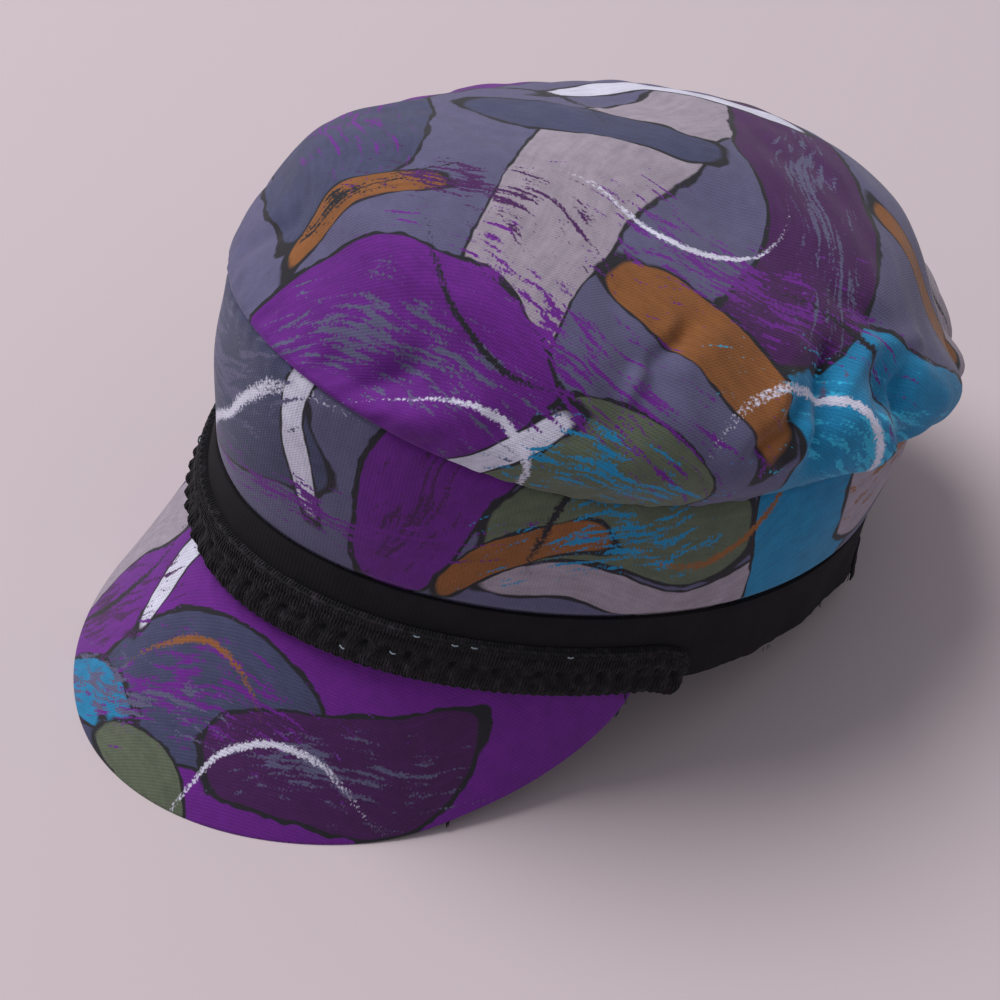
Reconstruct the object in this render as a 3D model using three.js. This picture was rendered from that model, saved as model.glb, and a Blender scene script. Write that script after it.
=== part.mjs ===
// A soft peaked cap of printed cloth: a full crown, a tall side band, a black ribbon round
// the head opening, a scalloped braid over the ribbon's front and a stiff covered peak.
//
// The pieces are drawn in the cap's own frame, in mm: the head opening's rim is level at
// z = 0, the forehead faces -Y and the wearer's left is +X. Turns are in degrees round the
// head, 0 at the forehead, 90 at the wearer's left and 180 at the nape. The finished cap is
// then tipped back to where it rests on a table, on the peak's edge and the nape's rim.
import * as THREE from 'three';
import { mergeVertices } from 'three/addons/utils/BufferGeometryUtils.js';

// Cloth thickness, and the clearance left where two pieces are sewn together.
const WALL = { crown: 1.6, band: 1.8, ribbon: 1.6, peak: 2.6, peakTuck: 2 };
const SEAM_GAP = 0.3;

// The rim: a rounded oval of 573 mm round, for a head of 56 to 57 cm.
const RIM = { halfWidth: 77.8, halfLength: 104.7, power: 1.89, egg: 0.014, bow: -1.8 };
const RIBBON = { height: 24, flare: 0.35, levelNape: [12, 26] };

// The side band starts inside the ribbon and rolls out over the ribbon's top edge.
const BAND = { tuckFoot: 12, tuckTop: 24.3, rollTop: 26.8, fullness: 1.4, steps: 4 };

// Sections of the crown cloth, up from its seam with the band: the height and the reach of
// each at the forehead, at the sides and at the nape.
const SECTION_POWER = 2.06;
const SECTIONS = table(['zFront', 'zSide', 'zBack', 'front', 'side', 'back'], [
  [75.5, 58.7, 56.5, 112.0, 71.7, 108.6],
  [81.3, 69.7, 61.3, 107.2, 80.6, 113.9],
  [94.4, 80.0, 69.3, 97.4, 80.5, 109.3],
  [108.3, 89.2, 83.5, 90.1, 73.4, 95.4],
  [114.3, 102.2, 103.5, 70.9, 55.4, 78.7],
  [117.6, 110.9, 113.2, 38.7, 31.8, 45.3],
  [118.4, 118.4, 118.4, 0, 0, 0],
]);

// Folds and dents of the crown, each along the line between two places on it, given as a
// turn and a section number. A rise below 0 is a valley.
const FOLDS = table(['turn', 'section', 'toTurn', 'toSection', 'width', 'rise'], [
  [25, 1.3, 16, 0.9, 7, -2.6], // dent beside the front seam
  [59, 3.1, 55, 2.6, 9, -2.2], // dent of the near side, with two puckers
  [56, 3.3, 50, 4.0, 5, -0.9],
  [61, 3.3, 70, 3.9, 5, -0.9],
  [90, 3.6, 78, 2.0, 7, 1.8], // pouch over the ear
  [95, 3.2, 92, 1.5, 6, -3.4],
  [100, 2.5, 104, 1.2, 7, 2.4],
  [109, 2.9, 113, 1.0, 6, -4.0],
  [126, 2.4, 130, 1.2, 9, 2.2],
  [146, 2.6, 149, 1.0, 7, -3.0], // nape
  [168, 2.4, 170, 1.2, 9, 1.8],
  [188, 2.7, 186, 1.0, 7, -3.0],
  [212, 2.4, 214, 1.2, 9, 2.0],
  [233, 2.9, 230, 1.0, 7, -3.4],
  [252, 2.5, 256, 1.3, 8, 2.0],
  [272, 3.0, 268, 1.3, 6, -2.6],
  [300, 3.1, 304, 2.5, 9, -1.8], // dent of the far side
]);

// The peak: its half span, its length along the slope and the curve of its outline, and
// its slope below the rim's plane, which grows towards the corners.
const PEAK = {
  halfSpan: 77.3, length: 62.6, bulge: 1.575, corner: 1.94,
  slope: 65, cornerSlope: 22, tuckTop: 7, leastLength: 1.4, level: [0.48, 0.75],
};

// The braid: its half span, its scallops' pitch and depth, and its section as
// outward offset and height, from its foot up the outer face to its top.
const BRAID = { halfSpan: 85, pitch: 5.6, scallop: 0.7 };
const BRAID_SECTION = table(['out', 'z', 'scalloped'], [
  [0.7, 2.0, 0],
  [1.9, -1.1, 0.5],
  [3.1, -0.8, 1],
  [3.3, 2.5, 1],
  [2.7, 7.0, 0.2],
  [3.0, 11.5, 0.5],
  [2.0, 14.6, 0],
  [0.7, 14.2, 0],
]);

// Steps round the head, along the peak, up the crown and in each scallop.
const STEPS = { round: 72, peak: 36, peakLength: 8, crown: 14, scallop: 3 };

const CLOTH = { roughness: 0.85, metalness: 0 };
const FINISH = {
  crown: { color: 0x64647f, ...CLOTH },
  side_band: { color: 0x8a8290, ...CLOTH },
  ribbon: { color: 0x17161a, ...CLOTH },
  braid_trim: { color: 0x131216, ...CLOTH },
  peak: { color: 0x521a63, ...CLOTH },
};

const UP = new THREE.Vector3(0, 0, 1);
const NUDGE = 1e-3;

function table(columns, rows) {
  return rows.map((row) => Object.fromEntries(columns.map((name, i) => [name, row[i]])));
}

// Distance factor that turns an ellipse into a rounded oval.
function ovalFactor(turn, power) {
  const across = Math.abs(Math.sin(turn)) ** power;
  const along = Math.abs(Math.cos(turn)) ** power;
  return (across + along) ** (-1 / power);
}

// A place on the upright wall of the head opening.
function wallPoint(turn, height, out = 0) {
  const factor = ovalFactor(turn, RIM.power);
  const narrow = 1 - RIM.egg * Math.cos(turn);
  return new THREE.Vector3(
    (RIM.halfWidth + out) * Math.sin(turn) * factor * narrow,
    -(RIM.halfLength + out) * Math.cos(turn) * factor,
    RIM.bow * Math.cos(2 * turn) + height,
  );
}

// The level direction out of that wall.
function wallOutward(turn) {
  const tangent = wallPoint(turn + NUDGE, 0).sub(wallPoint(turn - NUDGE, 0));
  return tangent.setZ(0).cross(UP).normalize();
}

// The resting plane runs through the nape's rim and the peak's tip.
const NAPE = wallPoint(Math.PI, 0);
const TIP = peakPoint(0, PEAK.length);
const REST_TILT = Math.atan2(NAPE.z - TIP.z, NAPE.y - TIP.y);

function heightAtRest(point) {
  return (point.z - NAPE.z) * Math.cos(REST_TILT) - (point.y - NAPE.y) * Math.sin(REST_TILT);
}

// Cubic through the crown's sections at a section number that needn't be whole.
function sectionAt(number) {
  const last = SECTIONS.length - 1;
  const i = Math.min(Math.floor(number), last - 1);
  const u = number - i;
  const section = {};
  for (const name of Object.keys(SECTIONS[0])) {
    const pick = (k) => SECTIONS[k][name];
    const mirrored = name.startsWith('z') ? pick(last - 1) : -pick(last - 1);
    const before = i > 0 ? pick(i - 1) : 2 * pick(0) - pick(1);
    const after = i + 2 > last ? mirrored : pick(i + 2);
    const [a, b, c, d] = [before, pick(i), pick(i + 1), after];
    section[name] = b + 0.5 * u * (c - a + u * (2 * a - 5 * b + 4 * c - d
      + u * (3 * (b - c) + d - a)));
  }
  return section;
}

// A place on the crown's cloth before it is folded.
function smoothCrown(turn, number) {
  const s = sectionAt(number);
  const factor = ovalFactor(turn, SECTION_POWER);
  const ahead = Math.max(Math.cos(turn), 0) ** 2;
  const behind = Math.max(-Math.cos(turn), 0) ** 2;
  const reach = Math.cos(turn) > 0 ? s.front : s.back;
  return new THREE.Vector3(
    s.side * Math.sin(turn) * factor,
    -reach * Math.cos(turn) * factor,
    s.zSide + (s.zFront - s.zSide) * ahead + (s.zBack - s.zSide) * behind,
  );
}

const FOLD_LINES = FOLDS.map((fold) => {
  const from = smoothCrown(THREE.MathUtils.degToRad(fold.turn), fold.section);
  const to = smoothCrown(THREE.MathUtils.degToRad(fold.toTurn), fold.toSection);
  return { ...fold, line: new THREE.Line3(from, to) };
});

// How far the folds move the cloth out of its smooth surface. They die out at the seam.
function foldRise(point, number) {
  const nearest = new THREE.Vector3();
  const fade = THREE.MathUtils.smoothstep(number, 0.1, 1);
  return fade * FOLD_LINES.reduce((sum, { line, width, rise }) => {
    const away = line.closestPointToPoint(point, true, nearest).distanceTo(point) / width;
    return sum + rise * Math.exp(-away * away);
  }, 0);
}

function normalOf(surface, turn, number, last) {
  if (number > last - NUDGE) return UP.clone();
  const low = Math.max(number - NUDGE, 0);
  const round = surface(turn + NUDGE, number).sub(surface(turn - NUDGE, number));
  const up = surface(turn, number + NUDGE).sub(surface(turn, low));
  return round.cross(up).normalize();
}

function foldedCrown(turn, number) {
  const point = smoothCrown(turn, number);
  const out = normalOf(smoothCrown, turn, number, SECTIONS.length - 1);
  return point.addScaledVector(out, foldRise(point, number));
}

// The band's outer face above the ribbon, from 0 at its roll to 1 at the crown's seam.
function bandFace(turn, share) {
  const foot = wallPoint(turn, BAND.rollTop, RIBBON.flare);
  const seam = smoothCrown(turn, 0);
  const full = BAND.fullness * Math.sin(Math.PI * share);
  return foot.lerp(seam, share).addScaledVector(wallOutward(turn), full);
}

// A place on the peak's upper face, at a share of its half span and a length down it.
function peakPoint(share, length) {
  const turn = share * THREE.MathUtils.degToRad(PEAK.halfSpan);
  const slope = THREE.MathUtils.degToRad(PEAK.slope + PEAK.cornerSlope * share * share);
  return wallPoint(turn, -SEAM_GAP)
    .addScaledVector(wallOutward(turn), length * Math.cos(slope))
    .addScaledVector(UP, -length * Math.sin(slope));
}

// How deep a unit step down the peak's slope goes once the cap rests.
function peakFall(share) {
  return heightAtRest(peakPoint(share, 0)) - heightAtRest(peakPoint(share, 1));
}

// The peak's length at a share of its half span, set so that its front edge lies level on
// the table and its corners lift clear.
function peakLength(share) {
  const outline = (1 - Math.abs(share) ** PEAK.bulge) ** (1 / PEAK.corner);
  const length = PEAK.length * outline;
  const level = 1 - THREE.MathUtils.smoothstep(Math.abs(share), ...PEAK.level);
  const lift = heightAtRest(peakPoint(share, length));
  return Math.max(length + level * lift / peakFall(share), PEAK.leastLength);
}

// Joins closed profiles, one after another, into one closed mesh: round the head, or with
// the first and last profile capped by the same outline cut into triangles.
function skin(profiles, isRing, capOutline) {
  const count = profiles[0].length;
  const triangles = [];
  const corner = (i, j) => profiles[i % profiles.length][j % count];
  for (let i = 0; i < profiles.length - (isRing ? 0 : 1); i++) {
    for (let j = 0; j < count; j++) {
      const [a, b, c, d] = [corner(i, j), corner(i + 1, j), corner(i + 1, j + 1), corner(i, j + 1)];
      triangles.push([a, b, c], [a, c, d]);
    }
  }
  if (!isRing) {
    for (const [a, b, c] of capTriangles(capOutline)) {
      const first = profiles[0];
      const end = profiles[profiles.length - 1];
      triangles.push([first[a], first[b], first[c]], [end[c], end[b], end[a]]);
    }
  }
  const solid = triangles.filter(([a, b, c]) => !same(a, b) && !same(b, c) && !same(c, a));
  const positions = new Float32Array(solid.flat().flatMap((p) => p.toArray()));
  const geometry = new THREE.BufferGeometry();
  geometry.setAttribute('position', new THREE.BufferAttribute(positions, 3));
  return mergeVertices(geometry, 1e-4);
}

// The triangles of a cap, wound the way that its outline runs.
function capTriangles(outline) {
  const faces = THREE.ShapeUtils.triangulateShape(outline, []);
  const areas = faces.map((face) => THREE.ShapeUtils.area(face.map((k) => outline[k])));
  const turned = areas.reduce((sum, area) => sum + area, 0) * THREE.ShapeUtils.area(outline) < 0;
  return turned ? faces.map((face) => face.reverse()) : faces;
}

function same(a, b) {
  return a.distanceToSquared(b) < 1e-6;
}

function turnsRound() {
  return Array.from({ length: STEPS.round }, (_, i) => 2 * Math.PI * i / STEPS.round);
}

function crown() {
  const last = SECTIONS.length - 1;
  const numbers = Array.from({ length: STEPS.crown + 1 }, (_, i) => last * i / STEPS.crown);
  const profiles = turnsRound().map((turn) => {
    const outer = numbers.map((number) => foldedCrown(turn, number));
    outer[0].z += SEAM_GAP;
    const inner = outer.map((point, i) => {
      const out = normalOf(foldedCrown, turn, numbers[i], last);
      if (i === 0) out.setZ(0).normalize();
      return point.clone().addScaledVector(out, -WALL.crown);
    });
    return [...outer, ...inner.reverse()];
  });
  return skin(profiles, true);
}

function sideBand() {
  const tuck = RIBBON.flare - WALL.ribbon - SEAM_GAP;
  const profiles = turnsRound().map((turn) => {
    const outer = [wallPoint(turn, BAND.tuckFoot, tuck), wallPoint(turn, BAND.tuckTop, tuck)];
    for (let i = 0; i <= BAND.steps; i++) outer.push(bandFace(turn, i / BAND.steps));
    const inward = wallOutward(turn).multiplyScalar(-WALL.band);
    const inner = outer.map((point) => point.clone().add(inward));
    return [...outer, ...inner.reverse()];
  });
  return skin(profiles, true);
}

// The ribbon's lower edge follows the rim, and at the nape it lies along the table.
function ribbon() {
  const inside = -WALL.ribbon;
  const profiles = turnsRound().map((turn) => {
    const fromNape = Math.abs(THREE.MathUtils.radToDeg(turn) - 180);
    const level = 1 - THREE.MathUtils.smoothstep(fromNape, ...RIBBON.levelNape);
    const lower = (out) => {
      const foot = wallPoint(turn, 0, out);
      foot.z -= level * heightAtRest(foot) / Math.cos(REST_TILT);
      return foot;
    };
    return [
      lower(0),
      wallPoint(turn, RIBBON.height / 2, RIBBON.flare / 2),
      wallPoint(turn, RIBBON.height, RIBBON.flare),
      wallPoint(turn, RIBBON.height, RIBBON.flare + inside),
      wallPoint(turn, RIBBON.height / 2, RIBBON.flare / 2 + inside),
      lower(inside),
    ];
  });
  return skin(profiles, true);
}

function braidTrim() {
  const halfSpan = THREE.MathUtils.degToRad(BRAID.halfSpan);
  const length = 2 * halfSpan * (RIM.halfWidth + RIM.halfLength) / 2;
  const stations = Math.round(length / BRAID.pitch) * STEPS.scallop;
  const profiles = Array.from({ length: stations + 1 }, (_, i) => {
    const turn = halfSpan * (2 * i / stations - 1);
    const wave = Math.sin(Math.PI * (i % STEPS.scallop) / STEPS.scallop);
    return BRAID_SECTION.map(({ out, z, scalloped }) => {
      const proud = scalloped * BRAID.scallop * (wave - 0.5);
      return wallPoint(turn, z, out + proud);
    });
  });
  const outline = BRAID_SECTION.map(({ out, z }) => new THREE.Vector2(out, z));
  return skin(profiles, false, outline);
}

// A stiff sheet that hangs from a tuck inside the ribbon. Its outer edge is cut level with
// the table.
function peak() {
  const face = -WALL.ribbon - SEAM_GAP;
  const profiles = Array.from({ length: STEPS.peak + 1 }, (_, i) => {
    const share = Math.sin(Math.PI / 2 * (2 * i / STEPS.peak - 1));
    const turn = share * THREE.MathUtils.degToRad(PEAK.halfSpan);
    const longest = peakLength(share);
    const down = peakPoint(share, 1).sub(peakPoint(share, 0)).normalize();
    const out = wallOutward(turn);
    const thick = out.multiplyScalar(-down.z).addScaledVector(UP, Math.hypot(down.x, down.y))
      .normalize().multiplyScalar(WALL.peak);
    const upper = [];
    for (let k = 0; k <= STEPS.peakLength; k++) {
      upper.push(peakPoint(share, longest * k / STEPS.peakLength));
    }
    const lower = upper.map((point) => point.clone().sub(thick));
    const sag = heightAtRest(upper[STEPS.peakLength]) - heightAtRest(lower[STEPS.peakLength]);
    lower.forEach((point, k) => {
      const shorter = sag / peakFall(share) * k / STEPS.peakLength;
      point.addScaledVector(down, -shorter);
    });
    return [
      wallPoint(turn, PEAK.tuckTop, face - WALL.peakTuck),
      ...lower,
      ...upper.reverse(),
      wallPoint(turn, -SEAM_GAP, face),
      wallPoint(turn, PEAK.tuckTop, face),
    ];
  });
  const corner = THREE.MathUtils.degToRad(-PEAK.halfSpan);
  const outline = profiles[0].map((point) => {
    const across = point.clone().sub(wallPoint(corner, 0)).dot(wallOutward(corner));
    return new THREE.Vector2(across, point.z);
  });
  return skin(profiles, false, outline);
}

const SHAPES = {
  crown: crown(),
  side_band: sideBand(),
  ribbon: ribbon(),
  braid_trim: braidTrim(),
  peak: peak(),
};

// The cap as worn, tipped back about the nape's rim, then centred over its own footprint.
const cap = new THREE.Group();
cap.rotation.x = -REST_TILT;
for (const [name, geometry] of Object.entries(SHAPES)) {
  const mesh = new THREE.Mesh(geometry, new THREE.MeshStandardMaterial(FINISH[name]));
  mesh.name = name;
  cap.add(mesh);
}

const resting = new THREE.Group();
resting.add(cap);
const bounds = new THREE.Box3().setFromObject(resting, true);
const middle = bounds.getCenter(new THREE.Vector3());
cap.position.set(-middle.x, -middle.y, -bounds.min.z);

export default resting;
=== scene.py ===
import bpy
import math
import numpy as np
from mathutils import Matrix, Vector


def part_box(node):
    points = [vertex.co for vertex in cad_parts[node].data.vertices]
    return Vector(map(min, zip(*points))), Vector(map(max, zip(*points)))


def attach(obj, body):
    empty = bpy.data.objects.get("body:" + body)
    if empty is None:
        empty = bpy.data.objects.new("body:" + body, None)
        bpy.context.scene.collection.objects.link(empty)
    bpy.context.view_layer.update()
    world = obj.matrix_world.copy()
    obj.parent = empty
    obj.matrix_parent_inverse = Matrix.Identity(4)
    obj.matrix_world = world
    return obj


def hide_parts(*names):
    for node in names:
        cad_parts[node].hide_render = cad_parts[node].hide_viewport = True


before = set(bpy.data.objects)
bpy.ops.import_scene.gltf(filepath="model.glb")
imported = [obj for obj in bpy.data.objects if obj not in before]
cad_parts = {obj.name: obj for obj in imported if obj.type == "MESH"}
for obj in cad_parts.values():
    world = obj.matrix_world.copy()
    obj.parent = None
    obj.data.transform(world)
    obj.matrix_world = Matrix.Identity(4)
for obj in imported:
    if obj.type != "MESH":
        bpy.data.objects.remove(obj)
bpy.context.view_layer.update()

# The crown: one full piece of printed cotton, gathered to the band at its lower edge. It is
# stiffened enough to stand by itself, and sags over the band in soft folds.
# Lengths are in mm in the cap's own frame: the rim is level at z = 0, the forehead faces -Y and
# the wearer's left is +X. Turns run round the head from the forehead, through the wearer's left.
CROWN_WALL = 1.6
CROWN_AROUND, CROWN_UP = 432, 104
SECTION_POWER = 2.06  # a little squarer than an ellipse
FREE_FROM_SEAM = (0.1, 1)  # the folds fade out towards the seam, over these section numbers
CALM_TOP = 25  # the waves fade out within this distance of the crown's middle
# The cloth's gentle waves: height, length, seed
CROWN_WAVES = [(0.55, 46, 3), (0.22, 15, 4)]
GATHER_HEIGHT, GATHER_MIDDLE, GATHER_REACH = 0.22, 3, 5
ROLL_HEIGHT, ROLL_EDGE, ROLL_REACH = 0.9, 1.6, 7  # the roll of cloth just above the seam
# The heights and reaches of the crown's sections, from the seam to the middle:
# zFront, zSide, zBack, front, side, back
SECTIONS = np.array([
    [75.5, 58.7, 56.5, 112.0, 71.7, 108.6],
    [81.3, 69.7, 61.3, 107.2, 80.6, 113.9],
    [94.4, 80.0, 69.3, 97.4, 80.5, 109.3],
    [108.3, 89.2, 83.5, 90.1, 73.4, 95.4],
    [114.3, 102.2, 103.5, 70.9, 55.4, 78.7],
    [117.6, 110.9, 113.2, 38.7, 31.8, 45.3],
    [118.4, 118.4, 118.4, 0, 0, 0],
])
# Folds between two places, each a turn in degrees and a section number:
# turn, section, to turn, to section, width, rise
FOLDS = [
    (25, 1.3, 16, 0.9, 7, -2.6),
    (59, 3.1, 55, 2.6, 9, -2.2),
    (56, 3.3, 50, 4.0, 5, -0.9),
    (61, 3.3, 70, 3.9, 5, -0.9),
    (90, 3.6, 78, 2.0, 7, 1.8),
    (95, 3.2, 92, 1.5, 6, -3.4),
    (100, 2.5, 104, 1.2, 7, 2.4),
    (109, 2.9, 113, 1.0, 6, -4.0),
    (126, 2.4, 130, 1.2, 9, 2.2),
    (146, 2.6, 149, 1.0, 7, -3.0),
    (168, 2.4, 170, 1.2, 9, 1.8),
    (188, 2.7, 186, 1.0, 7, -3.0),
    (212, 2.4, 214, 1.2, 9, 2.0),
    (233, 2.9, 230, 1.0, 7, -3.4),
    (252, 2.5, 256, 1.3, 8, 2.0),
    (272, 3.0, 268, 1.3, 6, -2.6),
    (300, 3.1, 304, 2.5, 9, -1.8),
]
# Finer creases that only the cloth's surface shows, in the same columns.
CREASES = [
    (22, 0.3, 24, 1.6, 3.6, -2.1),
    (30, 0.5, 36, 1.6, 5, 1.3),
    (60, 3.4, 66, 3.8, 2.3, -1.9),
    (57, 2.8, 59, 3.4, 1.9, 1.1),
    (58, 3.1, 64, 3.8, 2.4, 1.0),
    (66, 3.4, 71, 3.7, 4, 0.8),
    (79, 2.1, 89, 3.0, 2.5, -2.4),
    (86, 3.3, 83, 2.7, 3, 1.5),
    (89, 2.5, 87, 1.9, 3, 2.2),
    (98, 3.5, 92, 2.0, 2.5, -2.7),
    (97, 3.0, 109, 3.4, 3, 1.5),
    (109, 3.4, 122, 3.2, 3.4, 1.2),
    (104, 2.6, 112, 2.75, 2.8, -1.3),
    (107, 4.0, 113, 3.6, 4, -1.2),
    (114, 2.8, 112, 2.2, 2.4, -3.4),
    (119, 2.7, 122, 1.8, 4.4, 1.6),
    (104, 2.2, 106, 1.5, 3, 1.6),
    (136, 1.2, 138, 2.4, 3.2, -1.7),
    (142, 1.4, 146, 2.8, 3.4, 1.2),
    (158, 1.1, 160, 2.3, 3.2, -1.8),
    (181, 1.2, 176, 2.6, 3.2, 1.3),
    (200, 1.1, 199, 2.3, 3.2, -1.9),
    (221, 1.1, 224, 2.1, 3.2, -1.6),
    (228, 2.2, 238, 2.9, 3.2, 1.2),
    (243, 1.1, 240, 2.3, 3.2, -1.7),
    (262, 1.2, 264, 2.2, 3.4, -1.5),
    (276, 2.9, 286, 3.5, 3.2, -1.3),
    (285, 1.4, 292, 2.6, 4, -1.2),
    (318, 1.2, 325, 2.0, 4, -1.2),
    (340, 1.0, 346, 1.9, 3.6, -1.3),
]


def oval(turn, power):
    """The reach of a rounded oval of half width and length 1, in each direction."""
    return (abs(np.sin(turn)) ** power + abs(np.cos(turn)) ** power) ** (-1 / power)


def crown_point(turn, number):
    """A place on the smooth crown. The sections are joined by a cubic through them."""
    last = len(SECTIONS) - 1
    over_the_top = SECTIONS[-2] * [1, 1, 1, -1, -1, -1]
    rows = np.vstack([2 * SECTIONS[0] - SECTIONS[1], SECTIONS, over_the_top])
    i = np.minimum(np.floor(number).astype(int), last - 1)
    u = (number - i)[..., None]
    a, b, c, d = rows[i], rows[i + 1], rows[i + 2], rows[i + 3]
    s = b + 0.5 * u * (c - a + u * (2 * a - 5 * b + 4 * c - d + u * (3 * (b - c) + d - a)))
    factor = oval(turn, SECTION_POWER)
    ahead = np.maximum(np.cos(turn), 0) ** 2
    behind = np.maximum(-np.cos(turn), 0) ** 2
    reach = np.where(np.cos(turn) > 0, s[..., 3], s[..., 5])
    height = s[..., 1] + (s[..., 0] - s[..., 1]) * ahead + (s[..., 2] - s[..., 1]) * behind
    x = s[..., 4] * np.sin(turn) * factor
    return np.stack([x, -reach * np.cos(turn) * factor, height], axis=-1)


def smoothstep(value, low, high):
    share = np.clip((value - low) / (high - low), 0, 1)
    return share * share * (3 - 2 * share)


def fold_rise(points, folds):
    """How far the folds lift the cloth at each point."""
    rise = np.zeros(points.shape[:-1])
    for turn, number, to_turn, to_number, width, lift in folds:
        start = crown_point(np.radians(turn), np.array(float(number)))
        along = crown_point(np.radians(to_turn), np.array(float(to_number))) - start
        share = np.clip((points - start) @ along / (along @ along), 0, 1)
        away = np.linalg.norm(points - start - share[..., None] * along, axis=-1) / width
        rise += lift * np.exp(-away * away)
    return rise


def soft_waves(points, wavelength, seed):
    """Gentle unevenness of about 1 high: a few sine waves in seeded directions."""
    random = np.random.default_rng(seed)
    wave_count = 7
    total = np.zeros(points.shape[:-1])
    for _ in range(wave_count):
        direction = random.normal(size=3)
        direction *= 2 * math.pi / wavelength / np.linalg.norm(direction)
        total += np.sin(points @ direction * random.uniform(0.7, 1.4) + random.uniform(0, 6.28))
    return total / math.sqrt(wave_count)


def ring_normals(points):
    """Outward normals of a grid whose rows run up and whose columns run all round."""
    round_step = np.roll(points, -1, axis=1) - np.roll(points, 1, axis=1)
    normal = np.cross(round_step, np.gradient(points, axis=0))
    return normal / np.maximum(np.linalg.norm(normal, axis=-1, keepdims=True), 1e-9)


# The cap rests tipped back, on the peak's front edge and on the ribbon's edge at the nape.
# That takes the oval of the head opening and the line of the peak's middle.
RIM_HALF_WIDTH, RIM_HALF_LENGTH = 77.8, 104.7
RIM_POWER, RIM_EGG = 1.89, 0.014  # an oval, a little narrower at the forehead
RIM_BOW = -1.8  # the rim dips at the forehead and the nape
SEAM_GAP = 0.3
RIBBON_HEIGHT, RIBBON_FLARE = 24, 0.35
PEAK_HALF_SPAN = math.radians(77.3)
PEAK_LENGTH = 62.6
PEAK_SLOPE, PEAK_CORNER_SLOPE = 65, 22  # degrees down at the middle, and more at the corners
UP = np.array([0.0, 0.0, 1.0])


def wall_point(turn, height, out=0.0):
    """A place on the wall round the head, at a height above the rim and some way out."""
    turn, height, out = np.broadcast_arrays(turn, height, out)
    factor = oval(turn, RIM_POWER)
    x = (RIM_HALF_WIDTH + out) * np.sin(turn) * factor * (1 - RIM_EGG * np.cos(turn))
    y = -(RIM_HALF_LENGTH + out) * np.cos(turn) * factor
    return np.stack([x, y, RIM_BOW * np.cos(2 * turn) + height], axis=-1)


def wall_outward(turn):
    """The level direction that faces away from the wall there."""
    step = wall_point(turn + 1e-3, 0.0) - wall_point(turn - 1e-3, 0.0)
    out = np.stack([step[..., 1], -step[..., 0], 0 * step[..., 0]], axis=-1)
    return out / np.linalg.norm(out, axis=-1, keepdims=True)


def peak_point(share, length):
    """A place on the peak's upper face, at a share of its half span and down its slope."""
    turn = np.asarray(share) * PEAK_HALF_SPAN
    slope = np.radians(PEAK_SLOPE + PEAK_CORNER_SLOPE * np.asarray(share) ** 2)
    fall = np.asarray(length)[..., None]
    out = wall_outward(turn) * np.cos(slope)[..., None] - UP * np.sin(slope)[..., None]
    return wall_point(turn, -SEAM_GAP) + out * fall


nape = wall_point(math.pi, 0.0)
tip = peak_point(0.0, PEAK_LENGTH)
rest_tilt = math.atan2(nape[2] - tip[2], nape[1] - tip[1])
tilt_cos, tilt_sin = math.cos(rest_tilt), math.sin(rest_tilt)
ribbon_low, ribbon_high = (1000 * np.array(corner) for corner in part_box("ribbon"))
nape_reach = (RIM_HALF_LENGTH + RIBBON_FLARE) * tilt_cos + (RIM_BOW + RIBBON_HEIGHT) * tilt_sin
rest_shift = np.array([(ribbon_low[0] + ribbon_high[0]) / 2, ribbon_high[1] - nape_reach,
                       nape[1] * tilt_sin - nape[2] * tilt_cos])


def turned(vectors):
    """Vectors of the cap's frame as they stand once the cap rests."""
    x, y, z = np.moveaxis(np.asarray(vectors, float), -1, 0)
    return np.stack([x, y * tilt_cos + z * tilt_sin, z * tilt_cos - y * tilt_sin], axis=-1)


def at_rest(points):
    """Places in the cap's frame, in mm, as places in the row's frame, in metres."""
    return (turned(points) + rest_shift) / 1000


def in_scene(name, data):
    """An object in the scene that shows this mesh, light or camera."""
    shown = bpy.data.objects.new(name, data)
    bpy.context.scene.collection.objects.link(shown)
    return shown


def sewn_mesh(name, rows, uvs, is_ring=True, is_loop=False, poles=(), back_rows=None):
    """A mesh from a grid of points in the cap's frame: rows of columns that run round.
    uvs holds the cloth's own mm, with one more column than a ring's points. A loop joins its
    last row to its first, a pole closes a hole with one point, and back_rows go to the second
    material slot."""
    row_count, column_count = rows.shape[:2]
    vertices = list(at_rest(rows.reshape(-1, 3)))
    faces, corners, slots = [], [], []
    for i in range(row_count if is_loop else row_count - 1):
        for j in range(column_count if is_ring else column_count - 1):
            i2, j2 = (i + 1) % row_count, (j + 1) % column_count
            faces.append([i * column_count + j, i * column_count + j2,
                          i2 * column_count + j2, i2 * column_count + j])
            corners += [uvs[i, j], uvs[i, j + 1], uvs[i2, j + 1], uvs[i2, j]]
            slots.append(1 if back_rows and back_rows[0] <= i < back_rows[1] else 0)
    for row, point, uv, slot in poles:
        vertices.append(at_rest(point))
        for j in range(column_count):
            ends = [row * column_count + j, row * column_count + (j + 1) % column_count]
            uv_ends = [uvs[row, j], uvs[row, j + 1]]
            if slot:
                ends, uv_ends = ends[::-1], uv_ends[::-1]
            faces.append([*ends, len(vertices) - 1])
            corners += [*uv_ends, uv]
            slots.append(slot)
    if not is_ring:
        for j, is_start in ((0, True), (column_count - 1, False)):
            ring = [i * column_count + j for i in range(row_count)]
            ring = ring[::-1] if is_start else ring
            faces.append(ring)
            corners += [uvs[k // column_count, j] for k in ring]
            slots.append(0)
    mesh = bpy.data.meshes.new(name)
    mesh.from_pydata(vertices, [], faces)
    mesh.uv_layers.new(name="cloth_mm").data.foreach_set("uv", np.array(corners).ravel())
    mesh.polygons.foreach_set("material_index", slots)
    mesh.polygons.foreach_set("use_smooth", [True] * len(faces))
    mesh.set_sharp_from_angle(angle=math.radians(60))
    mesh.update()
    return in_scene(name, mesh)


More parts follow.
